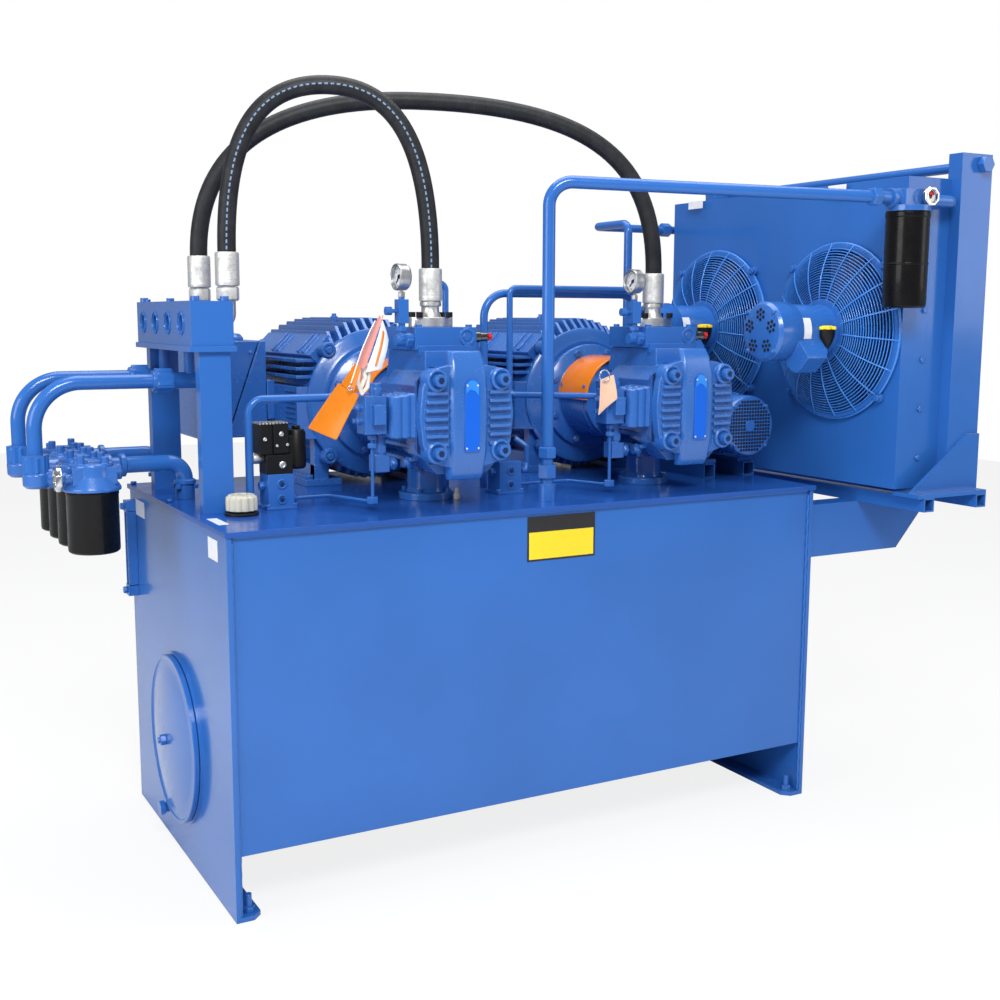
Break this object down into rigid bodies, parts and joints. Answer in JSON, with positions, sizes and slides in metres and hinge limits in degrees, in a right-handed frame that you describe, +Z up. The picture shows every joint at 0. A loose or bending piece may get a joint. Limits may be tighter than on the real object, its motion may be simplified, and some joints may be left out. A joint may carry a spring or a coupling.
{
  "type": "hydraulic power unit with oil reservoir",
  "caption": "Welded oil reservoir with motor and pump sets, arched pressure hoses, a manifold stand, return filters and a bracketed air cooler on its lid and end.",
  "frame": {"origin": "on the floor, under the middle of the tank", "axes": "+X along the tank towards the cooler, +Y towards the back of the tank, +Z up"},
  "size_m": [2.6702, 1.622, 2.088],
  "materials": {
    "blue_paint": "gloss",
    "black_enamel": "satin",
    "zinc_steel": "satin",
    "bare_steel": "machined",
    "chrome": "polished",
    "hose_rubber": "satin",
    "orange_guard": "gloss",
    "black_plastic": "matte",
    "cap_plastic": "matte",
    "fan_plastic": "satin",
    "filter_paper": "pleated paper",
    "stator_iron": "machined",
    "needle_black": "gloss"
  },
  "bodies": {
    "power_unit": {"baffle_plate": "bare_steel", "cap_screws": "zinc_steel", "circulation_motor": "blue_paint", "circulation_pump": "blue_paint", "cleanout_clamp": "zinc_steel", "cleanout_cover": "blue_paint", "conduit_boxes": "blue_paint", "cooler_core": "blue_paint", "cooler_frame": "blue_paint", "cooler_housing": "blue_paint", "cooler_pipes": "blue_paint", "coupling_guards": "orange_guard", "dial_cases": "chrome", "drain_plug": "bare_steel", "end_plate_left": "blue_paint", "end_plate_right": "blue_paint", "fan_guards": "blue_paint", "fan_motors": "blue_paint", "filler_strainer": "zinc_steel", "filter_canisters": "black_enamel", "filter_elements": "filter_paper", "filter_heads": "blue_paint", "filter_inlet_tubes": "blue_paint", "gauge_valves": "blue_paint", "hose_ends": "zinc_steel", "level_gauge": "zinc_steel", "levelling_studs": "zinc_steel", "manifold_block": "blue_paint", "manifold_stand": "blue_paint", "motor_fan_covers": "blue_paint", "motor_frames": "blue_paint", "motor_internals": "stator_iron", "pressure_hose_1": "hose_rubber", "pressure_hose_2": "hose_rubber", "pump_adapters": "blue_paint", "pump_end_caps": "blue_paint", "pump_housings": "blue_paint", "return_pipes": "blue_paint", "small_tubes": "blue_paint", "solenoid_valve": "black_plastic", "suction_lines": "blue_paint", "tank_lid": "blue_paint", "tank_shell": "blue_paint", "valve_blocks": "blue_paint"},
    "breather_cap": {"breather_cap": "cap_plastic"},
    "drive_train_1": {"motor_rotor_1": "bare_steel", "coupling_1": "bare_steel", "pump_shaft_1": "bare_steel"},
    "drive_train_2": {"motor_rotor_2": "bare_steel", "coupling_2": "bare_steel", "pump_shaft_2": "bare_steel"},
    "circulation_train": {"circulation_rotor": "bare_steel"},
    "fan_front": {"cooler_fan_front": "fan_plastic"},
    "fan_rear": {"cooler_fan_rear": "fan_plastic"},
    "gauge_needle_1": {"gauge_needle_1": "needle_black"},
    "gauge_needle_2": {"gauge_needle_2": "needle_black"},
    "gauge_knob_1": {"gauge_knob_1": "blue_paint"},
    "gauge_knob_2": {"gauge_knob_2": "blue_paint"},
    "indicator_pointer_1": {"indicator_pointer_1": "needle_black"},
    "indicator_pointer_2": {"indicator_pointer_2": "needle_black"}
  },
  "joints": [
    {"name": "breather_cap_turn", "type": "hinge", "parent": "power_unit", "child": "breather_cap", "pos_m": [-0.785, -0.24, 0.9954], "axis": [0, 0, 1], "range_deg": [0, 90]},
    {"name": "drive_train_1_spin", "type": "hinge", "parent": "power_unit", "child": "drive_train_1", "pos_m": [-0.236, 0.062, 1.21], "axis": [0, 1, 0], "continuous": true},
    {"name": "drive_train_2_spin", "type": "hinge", "parent": "power_unit", "child": "drive_train_2", "pos_m": [0.498, 0.062, 1.21], "axis": [0, 1, 0], "continuous": true},
    {"name": "circulation_spin", "type": "hinge", "parent": "power_unit", "child": "circulation_train", "pos_m": [0.815, -0.1, 1.132], "axis": [0, 1, 0], "continuous": true},
    {"name": "fan_front_spin", "type": "hinge", "parent": "power_unit", "child": "fan_front", "pos_m": [1, -0.4, 1.42], "axis": [1, 0, 0], "continuous": true},
    {"name": "fan_rear_spin", "type": "hinge", "parent": "power_unit", "child": "fan_rear", "pos_m": [1, 0.182, 1.42], "axis": [1, 0, 0], "continuous": true},
    {"name": "gauge_needle_1_swing", "type": "hinge", "parent": "power_unit", "child": "gauge_needle_1", "pos_m": [-0.366, -0.285, 1.564], "axis": [1, 0, 0], "range_deg": [0, 270]},
    {"name": "gauge_knob_1_turn", "type": "hinge", "parent": "power_unit", "child": "gauge_knob_1", "pos_m": [-0.378, -0.285, 1.477], "axis": [1, 0, 0], "range_deg": [0, 720]},
    {"name": "gauge_needle_2_swing", "type": "hinge", "parent": "power_unit", "child": "gauge_needle_2", "pos_m": [0.368, -0.285, 1.564], "axis": [1, 0, 0], "range_deg": [0, 270]},
    {"name": "gauge_knob_2_turn", "type": "hinge", "parent": "power_unit", "child": "gauge_knob_2", "pos_m": [0.356, -0.285, 1.477], "axis": [1, 0, 0], "range_deg": [0, 720]},
    {"name": "indicator_pointer_1_swing", "type": "hinge", "parent": "power_unit", "child": "indicator_pointer_1", "pos_m": [-1.2, -0.084, 1.061], "axis": [1, 0, 0], "range_deg": [0, 120]},
    {"name": "indicator_pointer_2_swing", "type": "hinge", "parent": "power_unit", "child": "indicator_pointer_2", "pos_m": [1.031, -0.761, 1.796], "axis": [0, 1, 0], "range_deg": [0, 120]}
  ]
}
